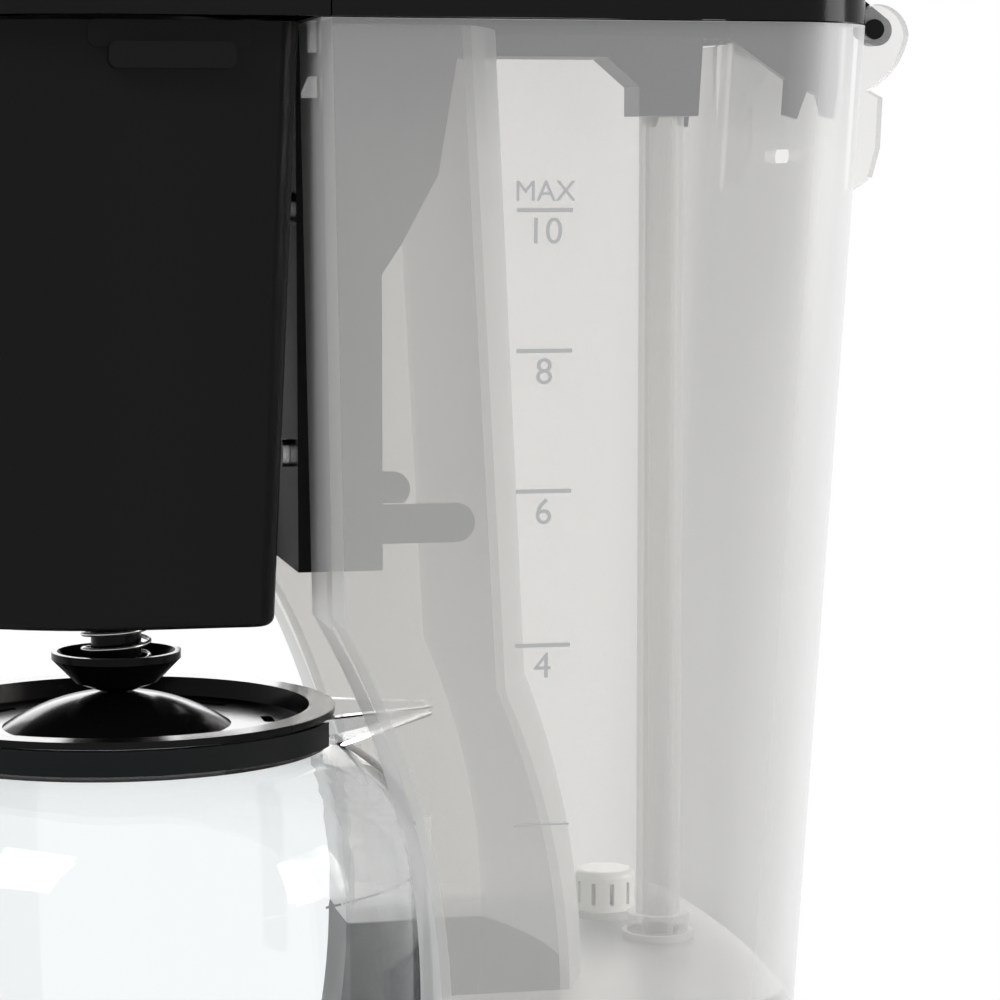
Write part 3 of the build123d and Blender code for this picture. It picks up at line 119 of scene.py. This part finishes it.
def lit_through(material, tint, shown=None):
    """Light passes the material as through tinted film, so that what is inside is lit."""
    nodes = material.node_tree.nodes
    links = material.node_tree.links
    shown = shown or nodes["Principled BSDF"].outputs["BSDF"]
    output = nodes["Material Output"]
    path = nodes.new("ShaderNodeLightPath")
    film = nodes.new("ShaderNodeBsdfTransparent")
    film.inputs["Color"].default_value = (*tint, 1.0)
    mix = nodes.new("ShaderNodeMixShader")
    links.new(path.outputs["Is Shadow Ray"], mix.inputs["Fac"])
    links.new(shown, mix.inputs[1])
    links.new(film.outputs["BSDF"], mix.inputs[2])
    links.new(mix.outputs["Shader"], output.inputs["Surface"])
    return material


# %% [markdown]
# ## Materials
# The tank is natural plastic: each face is part milk and part clear, slightly warm film.
# Looking along its wall there is more plastic in the way, so Layer Weight makes it denser
# there. Light on its way to what is inside meets only a pale tint.

# %%

TANK_MILK_FACING = 0.2
TANK_MILK_EDGE = 0.68

LOOKS = {
    "gloss_black": surface(
        "gloss_black", (0.006, 0.006, 0.006), 0.16, (1200.0, 0.00001), Specular_IOR_Level=0.08
    ),
    "black_plastic": surface(
        "black_plastic", (0.013, 0.013, 0.014), 0.42, (1500.0, 0.00006), Specular_IOR_Level=0.2
    ),
    "dark_plastic": surface(
        "dark_plastic", (0.006, 0.008, 0.008), 0.45, (1500.0, 0.00004), Specular_IOR_Level=0.1
    ),
    "white_plastic": surface("white_plastic", (0.8, 0.8, 0.78), 0.4),
    "rubber_foot": surface("rubber_foot", (0.03, 0.03, 0.03), 0.75, (1800.0, 0.00008)),
    "silicone": surface("silicone", (0.5, 0.5, 0.49), 0.5),
    "steel": surface("steel", (0.62, 0.62, 0.62), 0.25, (900.0, 0.00002), Metallic=1.0),
    "plate_steel": surface("plate_steel", (0.05, 0.05, 0.052), 0.36, (1500.0, 0.00005)),
    "aluminium_part": surface("aluminium_part", (0.72, 0.72, 0.73), 0.38, (1200.0, 0.00005), Metallic=1.0),
}

glass = surface("glass", (0.96, 0.975, 0.98), 0.0, Transmission_Weight=1.0, IOR=1.47)
LOOKS["glass"] = lit_through(glass, (0.94, 0.96, 0.965))

frosted = surface("frosted_tank", (0.66, 0.67, 0.67), 0.34, (700.0, 0.00003), IOR=1.46)
frosted_nodes = frosted.node_tree.nodes
frosted_links = frosted.node_tree.links
weight = frosted_nodes.new("ShaderNodeLayerWeight")
weight.inputs["Blend"].default_value = 0.5
dense = frosted_nodes.new("ShaderNodeMapRange")
dense.inputs["To Min"].default_value = TANK_MILK_FACING
dense.inputs["To Max"].default_value = TANK_MILK_EDGE
warm = frosted_nodes.new("ShaderNodeBsdfTransparent")
warm.inputs["Color"].default_value = (0.998, 0.992, 0.984, 1.0)
milky = frosted_nodes.new("ShaderNodeMixShader")
frosted_links.new(weight.outputs["Facing"], dense.inputs["Value"])
frosted_links.new(dense.outputs["Result"], milky.inputs["Fac"])
frosted_links.new(warm.outputs["BSDF"], milky.inputs[1])
frosted_links.new(frosted_nodes["Principled BSDF"].outputs["BSDF"], milky.inputs[2])
LOOKS["frosted_tank"] = lit_through(frosted, (0.86, 0.85, 0.84), milky.outputs["Shader"])

for part in frame["record"]["subparts"]:
    node = frame["nodes"][part["node"]]
    look = LOOKS[part["material_slot"]]
    if node.material_slots:
        for material_slot in node.material_slots:
            material_slot.material = look
    else:
        node.data.materials.append(look)

# %% [markdown]
# ## Cup marks on the tank
# The marks are printed on the right wall, which leans out a little towards the rim. Each
# is drawn flat, then set on the wall at its height. The numbers are cups.

# %%

WALL_LOW = (64.5, 127.0)
WALL_HIGH = (68.5, 326.0)
PRINT_PROUD = 0.06
MARK_FRONT = 48.5
MARK_REAR = 59.5
MARK_HEIGHT = 0.8
MARKS = ((289.7, "10"), (262.6, "8"), (235.3, "6"), (205.0, "4"), (169.3, ""))
NUMBER_SIZE = 7.2
NUMBER_DROP = 6.4
TOP_WORD_SIZE = 5.6
TOP_WORD_Z = 291.5
PRINT_HALF = 0.5
LETTER_STEPS = 6

printed = surface("printed_grey", (0.42, 0.43, 0.43), 0.5)


def wall_x(z):
    """How far out the right wall stands at height z, all in millimetres."""
    share = (z - WALL_LOW[1]) / (WALL_HIGH[1] - WALL_LOW[1])
    return WALL_LOW[0] + share * (WALL_HIGH[0] - WALL_LOW[0])


def mesh_piece(name, points, faces, look, body):
    """A piece from points in metres, on a body, with a look and a slot."""
    mesh = bpy.data.meshes.new(name)
    mesh.from_pydata(points.tolist(), [], faces)
    mesh.materials.append(look)
    piece = bpy.data.objects.new(name, mesh)
    bpy.context.scene.collection.objects.link(piece)
    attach(piece, body)
    print("made", name, len(mesh.polygons), "faces")
    return piece


def printed_on_wall(name, flat, faces):
    """Flat artwork (y across, z up, depth) in millimetres, laid on the leaning wall."""
    points = np.empty((len(flat), 3))
    points[:, 0] = wall_x(flat[:, 1]) + PRINT_PROUD * flat[:, 2]
    points[:, 1] = flat[:, 0]
    points[:, 2] = flat[:, 1]
    return mesh_piece(name, points * MM, faces, printed, "frame")


def lettering(name, text, size, middle_y, low_z):
    """Plain numbers or a generic word, set on the wall."""
    curve = bpy.data.curves.new(name, "FONT")
    curve.body = text
    curve.size = size
    curve.align_x = "CENTER"
    curve.extrude = PRINT_HALF
    curve.resolution_u = LETTER_STEPS
    holder = bpy.data.objects.new(name + "_curve", curve)
    bpy.context.scene.collection.objects.link(holder)
    bpy.context.view_layer.update()
    mesh = bpy.data.meshes.new_from_object(holder.evaluated_get(bpy.context.evaluated_depsgraph_get()))
    flat = np.empty(3 * len(mesh.vertices))
    mesh.vertices.foreach_get("co", flat)
    flat = flat.reshape(-1, 3)
    faces = [tuple(polygon.vertices) for polygon in mesh.polygons]
    bpy.data.objects.remove(holder)
    bpy.data.curves.remove(curve)
    bpy.data.meshes.remove(mesh)
    drawn = flat + np.array((middle_y, low_z, PRINT_HALF))
    return printed_on_wall(name, drawn, faces)


BAR_FACES = [(0, 1, 3, 2), (4, 6, 7, 5), (0, 4, 5, 1), (2, 3, 7, 6), (0, 2, 6, 4), (1, 5, 7, 3)]
mark_middle = (MARK_FRONT + MARK_REAR) / 2
for height, number in MARKS:
    thick = MARK_HEIGHT if number else MARK_HEIGHT / 2
    bar = [
        (y, z, depth)
        for depth in (0.0, 1.0)
        for z in (height - thick / 2, height + thick / 2)
        for y in (MARK_FRONT, MARK_REAR)
    ]
    printed_on_wall(f"mark_{height:.0f}", np.array(bar), BAR_FACES)
    if number:
        lettering(f"number_{number}", number, NUMBER_SIZE, mark_middle, height - NUMBER_DROP)
lettering("word_top", "MAX", TOP_WORD_SIZE, mark_middle, TOP_WORD_Z)

# %% [markdown]
# ## Stage
# A round pale floor fades out at its rim, so that from any side it melts into the white
# surround. It keeps the object's shadow.

# %%

FLOOR_RADIUS = 0.42
FLOOR_SIDES = 96
FLOOR_COLOUR = (0.86, 0.86, 0.86, 1.0)
FADE_START = 0.55
FADE_END = 0.98
ring = np.linspace(0.0, 2 * pi, FLOOR_SIDES, endpoint=False)
rim_points = [(FLOOR_RADIUS * cos(turn), FLOOR_RADIUS * sin(turn), 0.0) for turn in ring]
floor_mesh = bpy.data.meshes.new("floor")
floor_mesh.from_pydata(rim_points, [], [tuple(range(FLOOR_SIDES))])
floor = bpy.data.objects.new("floor", floor_mesh)
bpy.context.scene.collection.objects.link(floor)

floor_look = bpy.data.materials.new("floor")
floor_look.use_nodes = True
floor_nodes = floor_look.node_tree.nodes
floor_links = floor_look.node_tree.links
floor_shader = floor_nodes["Principled BSDF"]
floor_shader.inputs["Base Color"].default_value = FLOOR_COLOUR
floor_shader.inputs["Roughness"].default_value = 0.8
floor_place = floor_nodes.new("ShaderNodeTexCoord")
floor_far = floor_nodes.new("ShaderNodeVectorMath")
floor_far.operation = "LENGTH"
floor_fade = floor_nodes.new("ShaderNodeMapRange")
floor_fade.inputs["From Min"].default_value = FADE_START * FLOOR_RADIUS
floor_fade.inputs["From Max"].default_value = FADE_END * FLOOR_RADIUS
floor_clear = floor_nodes.new("ShaderNodeBsdfTransparent")
floor_mix = floor_nodes.new("ShaderNodeMixShader")
floor_links.new(floor_place.outputs["Object"], floor_far.inputs[0])
floor_links.new(floor_far.outputs["Value"], floor_fade.inputs["Value"])
floor_links.new(floor_fade.outputs["Result"], floor_mix.inputs["Fac"])
floor_links.new(floor_shader.outputs["BSDF"], floor_mix.inputs[1])
floor_links.new(floor_clear.outputs["BSDF"], floor_mix.inputs[2])
floor_links.new(floor_mix.outputs["Shader"], floor_nodes["Material Output"].inputs["Surface"])
floor_mesh.materials.append(floor_look)

# %% [markdown]
# ## Light
# The surround is plain white to the camera, to reflections and through glass. As a light
# it is weaker, and three soft panels model the form.

# %%

scene = bpy.context.scene
scene.view_settings.view_transform = "Standard"

AMBIENT = 0.5
world = bpy.data.worlds.new("studio")
scene.world = world
world.use_nodes = True
world_nodes = world.node_tree.nodes
world_links = world.node_tree.links
background = world_nodes["Background"]
background.inputs["Color"].default_value = (1.0, 1.0, 1.0, 1.0)
seen = world_nodes.new("ShaderNodeLightPath")
either = world_nodes.new("ShaderNodeMath")
either.operation = "MAXIMUM"
any_ray = world_nodes.new("ShaderNodeMath")
any_ray.operation = "MAXIMUM"
level = world_nodes.new("ShaderNodeMapRange")
level.inputs["To Min"].default_value = AMBIENT
level.inputs["To Max"].default_value = 1.0
world_links.new(seen.outputs["Is Camera Ray"], either.inputs[0])
world_links.new(seen.outputs["Is Glossy Ray"], either.inputs[1])
world_links.new(either.outputs["Value"], any_ray.inputs[0])
world_links.new(seen.outputs["Is Transmission Ray"], any_ray.inputs[1])
world_links.new(any_ray.outputs["Value"], level.inputs["Value"])
world_links.new(level.outputs["Result"], background.inputs["Strength"])

PANELS = (
    ("key", (0.9, -0.9, 1.1), 0.7, 9.0),
    ("rear", (0.35, 1.0, 0.4), 0.5, 9.0),
    ("far", (-1.0, 0.1, 0.7), 0.8, 7.0),
)
AIM = Vector((0.0, 0.0, 0.2))
for panel_name, spot, size, power in PANELS:
    lamp = bpy.data.lights.new(panel_name, "AREA")
    lamp.size = size
    lamp.energy = power
    panel = bpy.data.objects.new(panel_name, lamp)
    panel.location = spot
    panel.rotation_euler = (AIM - Vector(spot)).to_track_quat("-Z", "Y").to_euler()
    scene.collection.objects.link(panel)

# %% [markdown]
# ## Camera
# A long lens, nearly from the right and a little above, as in the photograph.

# %%

CAMERA_PLACE = Vector((0.6806, -0.0855, 0.2959))
CAMERA_TARGET = Vector((0.0, 0.05958, 0.2270))
lens = bpy.data.cameras.new("camera")
lens.sensor_width = 36.0
lens.lens = 117.2
lens.clip_start = 0.01
camera = bpy.data.objects.new("camera", lens)
camera.location = CAMERA_PLACE
camera.rotation_euler = (CAMERA_TARGET - CAMERA_PLACE).to_track_quat("-Z", "Y").to_euler()
scene.collection.objects.link(camera)
scene.camera = camera

# %%

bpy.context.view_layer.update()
